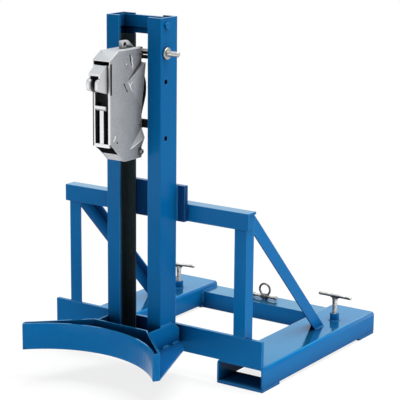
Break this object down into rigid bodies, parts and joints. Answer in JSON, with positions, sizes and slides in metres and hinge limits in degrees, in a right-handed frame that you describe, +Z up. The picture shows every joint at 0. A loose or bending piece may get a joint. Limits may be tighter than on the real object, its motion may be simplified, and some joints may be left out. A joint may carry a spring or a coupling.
{
  "type": "forklift drum attachment",
  "caption": "Fork-mounted drum lifter: welded frame with fork pockets and mast, curved drum cradle, and a gripping head with beak and jaw that hangs on a height pin.",
  "frame": {"origin": "middle of the footprint, on the ground", "axes": "+Z up along the mast, -Y towards the drum, +X to the right when looking along +Y"},
  "size_m": [0.76, 1.0054, 1.06],
  "materials": {
    "blue_paint": "gloss",
    "black_plastic": "satin",
    "head_metal": "satin",
    "zinc_steel": "zinc plated"
  },
  "bodies": {
    "frame": {"fork_pocket_left": "blue_paint", "fork_pocket_right": "blue_paint", "pocket_straps": "blue_paint", "front_crossbar": "blue_paint", "rear_crossbar": "blue_paint", "upright_left": "blue_paint", "upright_right": "blue_paint", "upper_beam": "blue_paint", "beam_caps": "blue_paint", "brace_left": "blue_paint", "brace_right": "blue_paint", "back_plate": "blue_paint", "cradle_arc": "blue_paint", "cradle_ends": "blue_paint", "cradle_back": "blue_paint", "cradle_floor": "blue_paint", "mast_gusset_left": "blue_paint", "mast_gusset_right": "blue_paint", "mast_post_left": "blue_paint", "mast_post_right": "blue_paint", "mast_header": "blue_paint", "header_bolts": "blue_paint", "clamp_boss_left": "blue_paint", "clamp_boss_right": "blue_paint", "shackle_lug": "blue_paint", "guide_liner_left": "black_plastic", "guide_liner_right": "black_plastic", "shackle_pin": "zinc_steel"},
    "head": {"cheek_left": "head_metal", "cheek_right": "head_metal", "head_cap": "head_metal", "head_foot": "head_metal", "head_sill": "head_metal", "head_lug": "head_metal", "slide_block_upper": "black_plastic", "slide_block_lower": "black_plastic", "block_rivets": "zinc_steel", "cross_bolt": "zinc_steel", "beak_pin": "zinc_steel", "jaw_guides": "black_plastic"},
    "beak": {"beak": "head_metal"},
    "jaw": {"lower_jaw": "head_metal", "jaw_peg": "zinc_steel"},
    "height_pin": {"height_pin": "zinc_steel"},
    "clamp_pad_left": {"clamp_pad_left": "zinc_steel"},
    "clamp_pad_right": {"clamp_pad_right": "zinc_steel"},
    "clamp_screw_left": {"clamp_screw_left": "zinc_steel"},
    "clamp_screw_right": {"clamp_screw_right": "zinc_steel"},
    "shackle": {"shackle_bow": "zinc_steel"}
  },
  "joints": [
    {"name": "pin_pull", "type": "slide", "parent": "frame", "child": "height_pin", "axis": [1, 0, 0], "range_m": [0, 0.205]},
    {"name": "head_lift", "type": "slide", "parent": "frame", "child": "head", "axis": [0, 0, 1], "range_m": [0, 0.043]},
    {"name": "beak_swing", "type": "hinge", "parent": "head", "child": "beak", "pos_m": [0, -0.3473, 0.931], "axis": [1, 0, 0], "range_deg": [0, 15]},
    {"name": "jaw_slide", "type": "slide", "parent": "head", "child": "jaw", "axis": [0, 0, 1], "range_m": [0, 0.01028]},
    {"name": "shackle_swing", "type": "hinge", "parent": "frame", "child": "shackle", "pos_m": [-0.005, 0.4577, 0.067], "axis": [1, 0, 0], "range_deg": [-90, 90]},
    {"name": "clamp_turn_left", "type": "hinge", "parent": "clamp_pad_left", "child": "clamp_screw_left", "pos_m": [-0.284, 0.3587, 0.1], "axis": [0, 0, -1], "range_deg": [0, 3240]},
    {"name": "clamp_feed_left", "type": "slide", "parent": "frame", "child": "clamp_pad_left", "axis": [0, 0, -1], "range_m": [0, 0.03601]},
    {"name": "clamp_turn_right", "type": "hinge", "parent": "clamp_pad_right", "child": "clamp_screw_right", "pos_m": [0.32, 0.3487, 0.1], "axis": [0, 0, -1], "range_deg": [0, 3240]},
    {"name": "clamp_feed_right", "type": "slide", "parent": "frame", "child": "clamp_pad_right", "axis": [0, 0, -1], "range_m": [0, 0.03601]}
  ],
  "couplings": [
    {"joint": "jaw_slide", "follows": "beak_swing", "m_per_rad": 0.039224},
    {"joint": "clamp_feed_left", "follows": "clamp_turn_left", "m_per_rad": 0.00063662},
    {"joint": "clamp_feed_right", "follows": "clamp_turn_right", "m_per_rad": 0.00063662}
  ]
}
